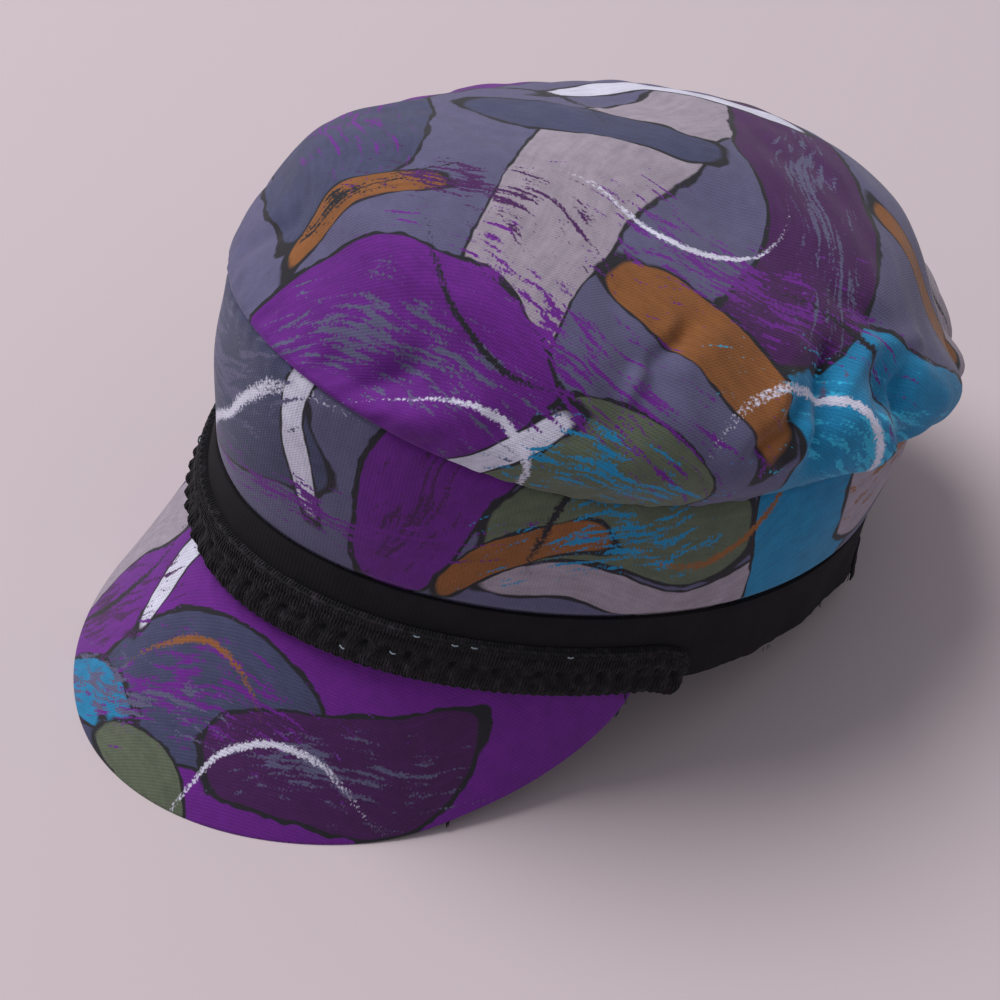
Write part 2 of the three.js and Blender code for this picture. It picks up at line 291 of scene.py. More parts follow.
around = np.linspace(0, 2 * np.pi, CROWN_AROUND, endpoint=False)[None, :]
numbers = np.linspace(0, len(SECTIONS) - 1, CROWN_UP + 1)[:-1, None]
turns, numbers = np.broadcast_arrays(around, numbers)
crown_smooth = crown_point(turns, numbers)
crown_out = ring_normals(crown_smooth)
steps_up = np.linalg.norm(np.diff(crown_smooth, axis=0), axis=-1)
from_seam = np.vstack([np.zeros((1, CROWN_AROUND)), np.cumsum(steps_up, axis=0)])
apex = np.array([0.0, 0.0, SECTIONS[-1, 0]])
to_apex = from_seam[-1] + np.linalg.norm(apex - crown_smooth[-1], axis=-1) - from_seam
fade = smoothstep(numbers, *FREE_FROM_SEAM)
calm_top = smoothstep(to_apex, 0, CALM_TOP)
gathers = np.sin(turns * 61 + 2 * np.sin(turns * 7)) + 0.6 * np.sin(turns * 97 + 1)
lift = fade * (fold_rise(crown_smooth, FOLDS) + fold_rise(crown_smooth, CREASES))
for height, length, seed in CROWN_WAVES:
    lift += height * calm_top * fade * soft_waves(crown_smooth, length, seed)
near_seam = np.exp(-((from_seam - GATHER_MIDDLE) / GATHER_REACH) ** 2)
lift += GATHER_HEIGHT * gathers * near_seam * smoothstep(from_seam, 0, 2)
lift += ROLL_HEIGHT * smoothstep(from_seam, 0, ROLL_EDGE) * np.exp(-from_seam / ROLL_REACH)
crown_outer = crown_smooth + crown_out * lift[..., None]
crown_outer[0, :, 2] += SEAM_GAP
crown_inner = crown_outer - CROWN_WALL * ring_normals(crown_outer)
crown_rows = np.concatenate([crown_inner[::-1], crown_outer])
flat = to_apex[..., None] * np.stack([np.sin(turns), -np.cos(turns)], axis=-1)
flat = np.concatenate([flat, flat[:, :1]], axis=1)
crown_uvs = np.concatenate([flat[::-1], flat])
crown_poles = [(0, apex - [0, 0, CROWN_WALL], (0, 0), 1), (2 * CROWN_UP - 1, apex, (0, 0), 0)]
crown = sewn_mesh("crown_cloth", crown_rows, crown_uvs, poles=crown_poles,
                  back_rows=(0, CROWN_UP - 1))


def srgb(code):
    """A colour as shader sockets take it, from its sRGB hex value."""
    values = [int(code[i:i + 2], 16) / 255 for i in (1, 3, 5)]
    linear = [v / 12.92 if v <= 0.04045 else ((v + 0.055) / 1.055) ** 2.4 for v in values]
    return (*linear, 1.0)


def add_node(tree, kind, inputs=(), **settings):
    """Adds one node. Inputs map a socket's name or number to a value, to another node's
    output, or to another node, for its first output."""
    node = tree.nodes.new(kind)
    for name, value in settings.items():
        setattr(node, name, value)
    for key, value in dict(inputs).items():
        if isinstance(value, bpy.types.Node):
            value = value.outputs[0]
        if isinstance(value, bpy.types.NodeSocket):
            tree.links.new(value, node.inputs[key])
        else:
            node.inputs[key].default_value = value
    return node


def add_sockets(group, in_out, kinds):
    """A node group's named inputs or outputs."""
    for label, kind in kinds.items():
        group.interface.new_socket(label, in_out=in_out, socket_type="NodeSocket" + kind)


def new_material(name):
    """A material and its empty node tree."""
    material = bpy.data.materials.new(name)
    material.use_nodes = True
    material.node_tree.nodes.clear()
    return material, material.node_tree


# The shape of one painted form, a bent and rounded oblong: how far a place on the cloth lies
# outside it, in mm, and the place in shares of its half length and half width. Along and
# Across are its own two directions, divided by those halves.
brush_shape = bpy.data.node_groups.new("Brush shape", "ShaderNodeTree")
add_sockets(brush_shape, "INPUT", {
    "Cloth": "Vector", "Centre": "Vector", "Along": "Vector", "Across": "Vector",
    "Half width": "Float", "Bend": "Float"})
add_sockets(brush_shape, "OUTPUT", {"Outside": "Float", "Own place": "Vector"})
given = add_node(brush_shape, "NodeGroupInput").outputs
centred = add_node(brush_shape, "ShaderNodeVectorMath", {0: given["Cloth"], 1: given["Centre"]},
                   operation="SUBTRACT")
along, across = [
    add_node(brush_shape, "ShaderNodeVectorMath", {0: centred, 1: given[side]},
             operation="DOT_PRODUCT").outputs["Value"] for side in ("Along", "Across")]
squared = add_node(brush_shape, "ShaderNodeMath", {0: along, 1: along}, operation="MULTIPLY")
unbent = add_node(brush_shape, "ShaderNodeMath", {0: squared, 1: given["Bend"], 2: across},
                  operation="MULTIPLY_ADD")
cubes = []
for side in (along, unbent):
    squared = add_node(brush_shape, "ShaderNodeMath", {0: side, 1: side}, operation="MULTIPLY")
    cubed = add_node(brush_shape, "ShaderNodeMath", {0: squared, 1: side}, operation="MULTIPLY")
    cubes.append(add_node(brush_shape, "ShaderNodeMath", {0: cubed}, operation="ABSOLUTE"))
both = add_node(brush_shape, "ShaderNodeMath", {0: cubes[0], 1: cubes[1]}, operation="ADD")
radius = add_node(brush_shape, "ShaderNodeMath", {0: both, 1: 1 / 3}, operation="POWER")
beyond = add_node(brush_shape, "ShaderNodeMath", {0: radius, 1: 1.0}, operation="SUBTRACT")
outside = add_node(brush_shape, "ShaderNodeMath", {0: beyond, 1: given["Half width"]},
                   operation="MULTIPLY")
place = add_node(brush_shape, "ShaderNodeCombineXYZ", {0: along, 1: unbent})
add_node(brush_shape, "NodeGroupOutput", {0: outside, 1: place})

INK = srgb("#1d1d24")
PAINTS = {
    "violet grey": srgb("#514f6e"),
    "purple": srgb("#5d187c"),
    "deep purple": srgb("#41174f"),
    "teal": srgb("#1778a6"),
    "taupe": srgb("#938998"),
    "slate": srgb("#3c405f"),
    "olive": srgb("#56604f"),
    "brown": srgb("#80502a"),
    "chalk": srgb("#c6c6da"),
    "pale teal": srgb("#2b9cc2"),
    "ink": INK,
}
INK_SHARPNESS = 2.6  # a painted edge blurs over about 0.4 mm of cloth
# How far an edge wanders, and over what length: a slow swing and two kinds of tremble, in mm.
HAND_WANDER = [(26.0, 52.0), (2.4, 13.0), (0.6, 3.0)]
PRESSURE_MM, GRAIN_MM, MOTTLE_MM = 11, 0.9, 6
STREAK_LONG, STREAK_WIDE = 12, 1.8
PATCH_TONES = (0.15, 0.85)  # streaks below the first are darkest, above the second lightest
DRY_BARE, DRY_COVERED = 1.12, 1.24  # what a dry brush leaves bare, and what it covers


def printed_cloth(name, ground, forms, thread_mm, thread_turn, thread_shade):
    """Plain-woven cotton with a screen print of brushed forms: matt, slightly napped, the
    paint's edges broken by the weave. forms gives the forms of each kind of mark."""
    material, tree = new_material(name)
    cloth = add_node(tree, "ShaderNodeUVMap", uv_map="cloth_mm")

    # An unsteady hand draws the forms' edges, and presses unevenly.
    hand = cloth
    for wander_mm, wave_mm in HAND_WANDER:
        noise = add_node(tree, "ShaderNodeTexNoise",
                         {"Vector": cloth, "Scale": 1 / wave_mm, "Detail": 0.0})
        centred = add_node(tree, "ShaderNodeVectorMath",
                           {0: noise.outputs["Color"], 1: (0.5, 0.5, 0.5)}, operation="SUBTRACT")
        hand = add_node(tree, "ShaderNodeVectorMath", {0: centred, 1: (wander_mm,) * 3, 2: hand},
                        operation="MULTIPLY_ADD")
    pressure = add_node(tree, "ShaderNodeTexNoise",
                        {"Vector": cloth, "Scale": 1 / PRESSURE_MM, "Detail": 2.0})
    pressure = add_node(tree, "ShaderNodeMapRange", {0: pressure, 1: 0.32, 2: 0.68, 3: 0.2, 4: 1.0})
    grain = add_node(tree, "ShaderNodeTexNoise",
                     {"Vector": cloth, "Scale": 1 / GRAIN_MM, "Detail": 2.0})
    pressed = add_node(tree, "ShaderNodeMath", {0: pressure, 1: 0.22}, operation="MULTIPLY")
    catch = add_node(tree, "ShaderNodeMath", {0: grain, 1: 0.7, 2: pressed},
                     operation="MULTIPLY_ADD")

    # A mix node reads a share below 0 as 0 and one above 1 as 1, so the masks may run over.
    colour = PAINTS[ground]
    for kind, row in [(kind, row) for kind, rows in forms.items() for row in rows]:
        u, v, turn, half_length, half_width, paint, *rest = row
        bend, ink_mm = [*rest, 0, 0][:2]
        turn_cos, turn_sin = math.cos(math.radians(turn)), math.sin(math.radians(turn))
        outside, own_place = add_node(tree, "ShaderNodeGroup", {
            "Cloth": hand, "Centre": (u, v, 0), "Half width": half_width, "Bend": bend / half_width,
            "Along": (turn_cos / half_length, turn_sin / half_length, 0),
            "Across": (-turn_sin / half_width, turn_cos / half_width, 0),
        }, node_tree=brush_shape).outputs
        coat = PAINTS[paint]
        if kind == "chalk":
            rubbed = add_node(tree, "ShaderNodeMath", {0: grain, 1: 2.6 * half_width, 2: outside},
                              operation="MULTIPLY_ADD")
            mask = add_node(tree, "ShaderNodeMath", {0: rubbed, 1: -1 / (0.6 * half_width), 2: 2.5},
                            operation="MULTIPLY_ADD")
        else:
            # A brush leaves streaks along its stroke. A dry one leaves the cloth bare between
            # them, and a full one, with an ink line round its form, only varies in tone.
            stretched = add_node(tree, "ShaderNodeVectorMath",
                                 {0: own_place,
                                  1: (half_length / STREAK_LONG, half_width / STREAK_WIDE, 1)},
                                 operation="MULTIPLY")
            streak = add_node(tree, "ShaderNodeTexNoise",
                              {"Vector": stretched, "Scale": 1.0, "Detail": 1.0},
                              noise_dimensions="2D")
        if kind == "brush":
            rubbed = add_node(tree, "ShaderNodeMath", {0: streak, 1: catch}, operation="ADD")
            cover = add_node(tree, "ShaderNodeMath", {0: outside, 1: -0.28 / half_width, 2: rubbed},
                             operation="MULTIPLY_ADD")
            steep = 1 / (DRY_COVERED - DRY_BARE)
            mask = add_node(tree, "ShaderNodeMath", {0: cover, 1: steep, 2: -DRY_BARE * steep},
                            operation="MULTIPLY_ADD")
        elif kind == "patch":
            mask = add_node(tree, "ShaderNodeMath", {0: outside, 1: -INK_SHARPNESS},
                            operation="MULTIPLY")
            line = add_node(tree, "ShaderNodeMath",
                            {0: pressure, 1: INK_SHARPNESS * ink_mm, 2: mask},
                            operation="MULTIPLY_ADD")
            colour = add_node(tree, "ShaderNodeMix", {0: line, 6: colour, 7: INK},
                              data_type="RGBA").outputs[2]
            steep = 1 / (PATCH_TONES[1] - PATCH_TONES[0])
            tone = add_node(tree, "ShaderNodeMath",
                            {0: streak, 1: steep, 2: -PATCH_TONES[0] * steep},
                            operation="MULTIPLY_ADD")
            darker = tuple(0.8 * c for c in coat[:3]) + (1.0,)
            coat = add_node(tree, "ShaderNodeMix", {0: tone, 6: darker, 7: coat},
                            data_type="RGBA").outputs[2]
        colour = add_node(tree, "ShaderNodeMix", {0: mask, 6: colour, 7: coat},
                          data_type="RGBA").outputs[2]

    # Paint sits unevenly, and the weave's threads shade it, one set prouder than the other.
    bias = add_node(tree, "ShaderNodeVectorRotate",
                    {"Vector": cloth, "Angle": math.radians(thread_turn)}, rotation_type="Z_AXIS")
    axes = add_node(tree, "ShaderNodeSeparateXYZ", {0: bias})
    waves = []
    for axis in (0, 1):
        phase = add_node(tree, "ShaderNodeMath",
                         {0: axes.outputs[axis], 1: 2 * math.pi / thread_mm}, operation="MULTIPLY")
        waves.append(add_node(tree, "ShaderNodeMath", {0: phase}, operation="SINE"))
    crossed = add_node(tree, "ShaderNodeMath", {0: waves[1], 1: 0.6, 2: 0.4},
                       operation="MULTIPLY_ADD")
    weave = add_node(tree, "ShaderNodeMath", {0: waves[0], 1: crossed}, operation="MULTIPLY")
    uneven = add_node(tree, "ShaderNodeTexNoise",
                      {"Vector": cloth, "Scale": 1 / MOTTLE_MM, "Detail": 3.0, "Roughness": 0.7})
    shade = add_node(tree, "ShaderNodeMapRange", {0: uneven, 1: 0.3, 2: 0.7, 3: 0.86, 4: 1.1})
    shade = add_node(tree, "ShaderNodeMath", {0: weave, 1: thread_shade, 2: shade},
                     operation="MULTIPLY_ADD")
    shade = add_node(tree, "ShaderNodeMath", {0: grain, 1: 0.22, 2: shade},
                     operation="MULTIPLY_ADD")
    shaded = add_node(tree, "ShaderNodeMix", {0: 1.0, 6: colour, 7: shade}, data_type="RGBA",
                      blend_type="MULTIPLY")
    height = add_node(tree, "ShaderNodeMath", {0: grain, 1: 0.9, 2: weave},
                      operation="MULTIPLY_ADD")
    bump = add_node(tree, "ShaderNodeBump",
                    {"Height": height, "Strength": 0.35, "Distance": 0.00014})
    skin = add_node(tree, "ShaderNodeBsdfPrincipled",
                    {"Base Color": shaded.outputs[2], "Normal": bump, "Roughness": 0.82,
                     "Sheen Weight": 0.12, "Sheen Roughness": 0.5, "Specular IOR Level": 0.25})
    add_node(tree, "ShaderNodeOutputMaterial", {0: skin})
    return material


def cloth_back(name, colour, thread_mm):
    """The unprinted back of the cloth: the dye shows through it as one dull colour."""
    material, tree = new_material(name)
    cloth = add_node(tree, "ShaderNodeUVMap", uv_map="cloth_mm")
    mottle = add_node(tree, "ShaderNodeTexNoise", {"Vector": cloth, "Scale": 1 / 30, "Detail": 3.0})
    shade = add_node(tree, "ShaderNodeMix", {0: mottle, 6: srgb(colour), 7: srgb("#8d8797")},
                     data_type="RGBA")
    threads = add_node(tree, "ShaderNodeTexNoise",
                       {"Vector": cloth, "Scale": 1 / thread_mm, "Detail": 2.0})
    bump = add_node(tree, "ShaderNodeBump",
                    {"Height": threads, "Strength": 0.4, "Distance": 0.0002})
    skin = add_node(tree, "ShaderNodeBsdfPrincipled",
                    {"Base Color": shade.outputs[2], "Normal": bump, "Roughness": 0.9})
    add_node(tree, "ShaderNodeOutputMaterial", {0: skin})
    return material


# The crown's print, the lowest forms first: u, v, turn, half length, half width, paint, and
# where they matter the bend and the ink line's width. u runs to the wearer's left and v to the
# nape from the crown's middle, in mm on the cloth.
CROWN_PRINT = {
    "patch": [
        (22, -46, 128, 118, 17, "taupe", 22, 1.6), (-64, -58, -30, 62, 26, "slate", 14, 2.2),
        (34, -108, 42, 60, 28, "purple", 10, 2.4), (100, 34, 72, 48, 27, "teal", -10, 2.2),
        (92, -58, 64, 30, 17, "olive", 9, 2.0), (26, 34, -30, 66, 19, "deep purple", 16, 2.0),
        (-84, 22, 84, 54, 25, "purple", 12, 2.4), (-44, 92, 24, 60, 26, "teal", 12, 2.2),
        (42, 104, -14, 50, 22, "taupe", -12, 1.8), (-14, -14, 40, 34, 10, "slate", -9, 1.5),
        (66, -20, 20, 29, 8, "brown", 7, 1.4), (-14, -88, 74, 25, 7, "brown", 6, 1.6),
        (58, 66, 34, 26, 7, "brown", -6, 1.4), (84, -92, 118, 30, 5, "chalk", 8, 1.5),
        (-36, 30, 66, 36, 6, "chalk", 8, 1.5),
    ],
    "brush": [
        (58, -62, 36, 44, 16, "purple"), (52, -2, 52, 36, 14, "purple"),
        (6, -62, 30, 30, 11, "deep purple"), (34, -106, 40, 40, 13, "violet grey"),
        (98, 30, 74, 34, 14, "pale teal"), (92, -56, 60, 22, 9, "teal"),
        (28, 34, -28, 44, 9, "violet grey"), (-70, -50, -30, 44, 13, "purple"),
        (-44, 90, 26, 40, 12, "pale teal"), (-14, -88, 74, 20, 5, "ink"),
    ],
    "chalk": [
        (72, -78, 30, 26, 1.0, "chalk", 12), (38, -16, 74, 22, 0.9, "chalk", -10),
        (88, 10, 62, 26, 1.3, "chalk", 10), (46, -84, 16, 24, 1.0, "ink", -9),
        (80, 24, 14, 30, 1.1, "ink", 10), (-54, -8, 20, 34, 1.2, "ink", 10),
        (30, 88, 14, 36, 1.2, "ink", -10),
    ],
}
crown_cloth = printed_cloth("printed cotton crown", "violet grey", CROWN_PRINT, 0.9, 38, 0.13)
cotton_back = cloth_back("cotton back", "#6d6a80", 0.8)
crown.data.materials.append(crown_cloth)
crown.data.materials.append(cotton_back)
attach(crown, "root")
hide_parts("crown")

# The side band: printed cloth cut straight and stiffened by its seams, tall at the
# forehead. It is sewn inside the ribbon, rolls out over its top edge and meets the crown.
BAND_WALL = 1.8
RIBBON_WALL = 1.6
BAND_TUCK = (12, 18, 24.3)  # heights of its rows inside the ribbon
BAND_ROLL_TOP = 26.8
BAND_AROUND, BAND_UP = 432, 34
BAND_FULLNESS = 1.4
BAND_WAVE, BAND_WAVE_MM = 0.45, 38
SEAM_PULL, SEAM_PULL_REACH = 0.7, 1.3  # the seam to the crown draws the band's edge in
PUCKER, PUCKERS_ROUND, PUCKER_REACH = 0.16, 83, 6
BAND_PRINT = {
    "patch": [
        (-18, 30, 20, 44, 22, "slate", 8, 1.8), (52, 28, 64, 34, 15, "purple", 5, 2.0),
        (104, 30, 4, 34, 15, "olive", 5, 1.8), (118, 6, 3, 46, 7, "taupe", -4, 1.4),
        (164, 22, 12, 24, 26, "teal", 5, 2.0), (214, 20, -12, 34, 15, "taupe", 6, 1.6),
        (-92, 26, -20, 50, 17, "taupe", 8, 1.6), (-160, 22, 30, 34, 22, "purple", 6, 2.0),
        (-226, 18, 10, 52, 14, "olive", -6, 1.8), (262, 18, 24, 36, 12, "slate", 5, 1.6),
        (76, 16, 30, 22, 6, "brown", 5, 1.4), (20, 40, 80, 30, 4, "chalk", 5, 1.3),
    ],
    "brush": [
        (-20, 30, 24, 38, 12, "violet grey"), (52, 28, 62, 26, 8, "deep purple"),
        (104, 28, 30, 26, 11, "teal"), (24, 14, 8, 40, 8, "purple"),
        (-160, 22, 34, 28, 12, "violet grey"), (214, 20, -10, 28, 8, "brown"),
    ],
    "chalk": [
        (-10, 26, 46, 32, 1.3, "chalk", 9), (84, 32, 70, 18, 1.0, "ink", 6),
        (136, 24, 22, 24, 1.1, "brown", -7), (-90, 26, 66, 22, 1.2, "ink", 7),
    ],
}

band_turns = np.linspace(-np.pi, np.pi, BAND_AROUND, endpoint=False)
share_up = np.linspace(0, 1, BAND_UP)[:, None]
foot = wall_point(band_turns, BAND_ROLL_TOP, RIBBON_FLARE)
seam = crown_point(band_turns, np.zeros_like(band_turns))
band_out = wall_outward(band_turns)
face = foot + (seam - foot) * share_up[..., None]
swell = BAND_FULLNESS * np.sin(np.pi * share_up)
swell = swell + BAND_WAVE * np.sin(np.pi * share_up) * soft_waves(face, BAND_WAVE_MM, 11)
height_left = np.linalg.norm(seam - foot, axis=-1) * (1 - share_up)
swell -= SEAM_PULL * np.exp(-(height_left / SEAM_PULL_REACH) ** 2)
swell += PUCKER * np.sin(band_turns * PUCKERS_ROUND) * np.exp(-(height_left / PUCKER_REACH) ** 2)
face = face + band_out * swell[..., None]
tuck_out = RIBBON_FLARE - RIBBON_WALL - SEAM_GAP
tuck = np.stack([wall_point(band_turns, z, tuck_out) for z in BAND_TUCK])
roll = np.stack([tuck[-1] + (face[0] - tuck[-1]) * s + band_out * 0.25 * math.sin(math.pi * s)
                 for s in (0.35, 0.7)])
band_outer = np.concatenate([tuck, roll, face])
band_inner = band_outer - BAND_WALL * band_out
band_rows = np.concatenate([band_inner[::-1], band_outer])
girth = np.linalg.norm(np.diff(foot, axis=0, append=foot[:1]), axis=-1)
girth = np.concatenate([[0], np.cumsum(girth)])
girth -= girth[-1] / 2
rises = np.linalg.norm(np.diff(band_outer, axis=0), axis=-1)
rises = np.vstack([np.zeros((1, BAND_AROUND)), np.cumsum(rises, axis=0)])
rises = rises - rises[len(tuck) + len(roll)]
rises = np.concatenate([rises, rises[:, :1]], axis=1)
band_flat = np.stack([np.broadcast_to(girth, rises.shape), rises], axis=-1)
band_uvs = np.concatenate([band_flat[::-1], band_flat])
side_band = sewn_mesh("side_band_cloth", band_rows, band_uvs, is_loop=True,
                      back_rows=(0, len(band_outer) - 1))
side_band.data.materials.append(
    printed_cloth("printed cotton band", "violet grey", BAND_PRINT, 0.9, 6, 0.15))
side_band.data.materials.append(cotton_back)
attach(side_band, "root")
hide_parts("side_band")

# The ribbon: black cotton grosgrain, 24 mm high, sewn round the head opening. Its cut lower
# edge is slightly uneven and waves behind the ears, and at the nape it lies on the table.
RIBBON_UP = 16
RIB_MM = 1.1
LEVEL_NAPE = (12, 26)  # degrees from the nape: level on the table up to the first
BEHIND_EARS = (88, 110)  # degrees from the forehead: the edge starts to wave, and waves fully
EDGE_WAVE, EDGE_WAVE_MM = 0.5, 26
# How uneven the cut is behind the ears, and all round, and over what length
RAGGED, RAGGED_MM, CUT, CUT_MM = 0.9, 9, 0.25, 3
EAR_TURN, EAR_SPREAD, EAR_FLARE = 137, 11, 3.5
RIBBON_EDGE_ROUND = 0.35


def rest_height(points):
    """How high a place stands above the table once the cap rests."""
    return (points[..., 2] - nape[2]) * tilt_cos - (points[..., 1] - nape[1]) * tilt_sin


from_nape = abs(np.abs(np.degrees(band_turns)) - 180)
level = 1 - smoothstep(from_nape, *LEVEL_NAPE)
behind_ear = smoothstep(np.abs(np.degrees(band_turns)), *BEHIND_EARS) * (1 - level)
ragged = RAGGED * behind_ear * np.abs(soft_waves(foot, RAGGED_MM, 21))
ragged = ragged + CUT * abs(soft_waves(foot, CUT_MM, 22))


def ear_flare(turns, share):
    """How far the ribbon's free edge stands away behind the left ear, in mm."""
    near_ear = np.exp(-((np.degrees(turns) - EAR_TURN) / EAR_SPREAD) ** 2)
    return EAR_FLARE * near_ear * (1 - share) ** 1.2


def ribbon_wall(out, share):
    """One row of the ribbon, at a share of its height."""
    row = wall_point(band_turns, RIBBON_HEIGHT * share, out + RIBBON_FLARE * share)
    above = rest_height(wall_point(band_turns, 0, out))
    row[:, 2] += (1 - share) * (ragged * (1 - level) - level * above / tilt_cos)
    wave = EDGE_WAVE * behind_ear * (1 - share) * soft_waves(row, EDGE_WAVE_MM, 23)
    wave = wave + ear_flare(band_turns, share)
    return row + wave[:, None] * band_out


shares = np.linspace(0, 1, RIBBON_UP)
ribbon_outer = np.stack([ribbon_wall(0, s) for s in shares])
ribbon_inner = np.stack([ribbon_wall(-RIBBON_WALL, s) for s in shares])
for edge_row in (0, -1):
    ribbon_outer[edge_row] -= RIBBON_EDGE_ROUND * band_out
ribbon_rows = np.concatenate([ribbon_inner[::-1], ribbon_outer])
heights = np.broadcast_to((RIBBON_HEIGHT * shares)[:, None], (RIBBON_UP, BAND_AROUND + 1))
ribbon_flat = np.stack([np.broadcast_to(girth, heights.shape), heights], axis=-1)
ribbon = sewn_mesh("ribbon_grosgrain", ribbon_rows,
                   np.concatenate([ribbon_flat[::-1], ribbon_flat]), is_loop=True)

# Black grosgrain: fine cross ribs of cotton, matt, faded a little where it is handled.
grosgrain, tree = new_material("black grosgrain")
ribbon_cloth = add_node(tree, "ShaderNodeUVMap", uv_map="cloth_mm")
ribbon_axes = add_node(tree, "ShaderNodeSeparateXYZ", {0: ribbon_cloth})
rib_phase = add_node(tree, "ShaderNodeMath", {0: ribbon_axes, 1: 2 * math.pi / RIB_MM},
                     operation="MULTIPLY")
ribs = add_node(tree, "ShaderNodeMath", {0: rib_phase}, operation="SINE")
lint = add_node(tree, "ShaderNodeTexNoise",
                {"Vector": ribbon_cloth, "Scale": 1 / 0.8, "Detail": 3.0})
ribbon_height = add_node(tree, "ShaderNodeMath", {0: lint, 1: 1.6, 2: ribs},
                         operation="MULTIPLY_ADD")
ribbon_bump = add_node(tree, "ShaderNodeBump",
                       {"Height": ribbon_height, "Strength": 0.2, "Distance": 0.0002})
faded = add_node(tree, "ShaderNodeTexNoise",
                 {"Vector": ribbon_cloth, "Scale": 1 / 9, "Detail": 4.0})
fade_share = add_node(tree, "ShaderNodeMapRange", {0: faded, 1: 0.35, 2: 0.75})
ribbon_colour = add_node(tree, "ShaderNodeMix",
                         {0: fade_share, 6: srgb("#151418"), 7: srgb("#1d1b20")}, data_type="RGBA")
ribbon_skin = add_node(tree, "ShaderNodeBsdfPrincipled",
                       {"Base Color": ribbon_colour.outputs[2], "Normal": ribbon_bump,
                        "Roughness": 0.9, "Specular IOR Level": 0.2})
add_node(tree, "ShaderNodeOutputMaterial", {0: ribbon_skin})
ribbon.data.materials.append(grosgrain)
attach(ribbon, "root")
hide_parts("ribbon")

# The peak: stiff board covered in the same print, the cloth turned under at its edge. It
# hangs from a tuck inside the ribbon, and its front edge lies on the table.
PEAK_WALL = 2.2
PEAK_EDGE_WALL = 1.7
PEAK_TUCK_TOP, PEAK_TUCK_WALL = 7, 2
PEAK_BULGE, PEAK_CORNER = 1.575, 1.94  # the powers that shape its outline
PEAK_LEAST = 1.4
PEAK_LEVEL = (0.48, 0.75)  # shares of its half span: its edge lies level up to the first
PEAK_RIPPLE, PEAK_RIPPLE_MM = 0.3, 42
PEAK_ACROSS, PEAK_DOWN, PEAK_ROUND = 220, 64, 7
PEAK_PRINT = {
    "patch": [
        (16, -132, 24, 52, 22, "slate", 9, 2.2), (66, -108, 62, 44, 17, "deep purple", -8, 2.2),
        (-62, -116, 50, 34, 14, "taupe", 7, 1.8), (-28, -154, 18, 32, 9, "teal", 6, 2.0),
        (30, -160, -14, 34, 8, "olive", 5, 1.8), (-22, -112, 76, 20, 5, "chalk", 4, 1.5),
    ],
    "brush": [
        (14, -132, 26, 42, 15, "purple"), (66, -108, 60, 30, 9, "violet grey"),
        (-46, -138, 40, 30, 12, "deep purple"), (-10, -146, 16, 40, 8, "violet grey"),
    ],
    "chalk": [
        (48, -126, 58, 30, 1.2, "chalk", 8), (-46, -136, 48, 26, 1.1, "ink", -8),
        (8, -120, 20, 22, 1.0, "brown", 6),
    ],
}

share = np.sin(np.linspace(-np.pi / 2, np.pi / 2, PEAK_ACROSS))
peak_turns = share * PEAK_HALF_SPAN
peak_out = wall_outward(peak_turns)
down = peak_point(share, np.ones_like(share)) - peak_point(share, np.zeros_like(share))
fall = -(turned(down)[:, 2])
outline = np.maximum(1 - np.abs(share) ** PEAK_BULGE, 0) ** (1 / PEAK_CORNER)
longest = PEAK_LENGTH * outline
level_share = 1 - smoothstep(np.abs(share), *PEAK_LEVEL)
longest = np.maximum(
    longest + level_share * rest_height(peak_point(share, longest)) / fall, PEAK_LEAST)
thick = peak_out * -down[:, 2:] + UP * np.hypot(down[:, 0], down[:, 1])[:, None]
thick /= np.linalg.norm(thick, axis=-1, keepdims=True)
upper, lower, upper_uv = [], [], []
edge_round = PEAK_EDGE_WALL / 2
flat_rim = wall_point(peak_turns, 0)[:, :2]
for k in np.linspace(0, 1, PEAK_DOWN):
    length = (longest - edge_round) * k
    point = peak_point(share, length)
    ripple = PEAK_RIPPLE * soft_waves(point, PEAK_RIPPLE_MM, 31) * math.sin(math.pi * k)
    upper.append(point + thick * np.reshape(ripple, (-1, 1)))
    wall = PEAK_WALL + (PEAK_EDGE_WALL - PEAK_WALL) * k
    lower.append(upper[-1] - wall * thick)
    upper_uv.append(flat_rim + peak_out[:, :2] * length[:, None])
edge_rows = []
for k in range(1, PEAK_ROUND):
    bend = math.pi * k / PEAK_ROUND
    middle = (upper[-1] + lower[-1]) / 2
    edge_rows.append(middle + edge_round * (math.cos(bend) * thick + math.sin(bend) * down))
face_out = -RIBBON_WALL - SEAM_GAP
peak_rows = np.stack([
    wall_point(peak_turns, PEAK_TUCK_TOP, face_out - PEAK_TUCK_WALL),
    *lower, *edge_rows[::-1], *upper[::-1],
    wall_point(peak_turns, -SEAM_GAP, face_out),
    wall_point(peak_turns, PEAK_TUCK_TOP, face_out),
])
peak_uvs = np.stack([
    flat_rim - PEAK_TUCK_TOP * peak_out[:, :2],
    *upper_uv, *[upper_uv[-1]] * len(edge_rows), *upper_uv[::-1],
    flat_rim, flat_rim - PEAK_TUCK_TOP * peak_out[:, :2],
])
table_up = np.array([0, -tilt_sin, tilt_cos])
peak_rows = peak_rows - np.minimum(rest_height(peak_rows), 0)[..., None] * table_up
peak = sewn_mesh("peak_covered", peak_rows, peak_uvs, is_ring=False, is_loop=True)
peak.data.materials.append(
    printed_cloth("printed cotton peak", "purple", PEAK_PRINT, 0.95, 52, 0.22))
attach(peak, "root")
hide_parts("peak")

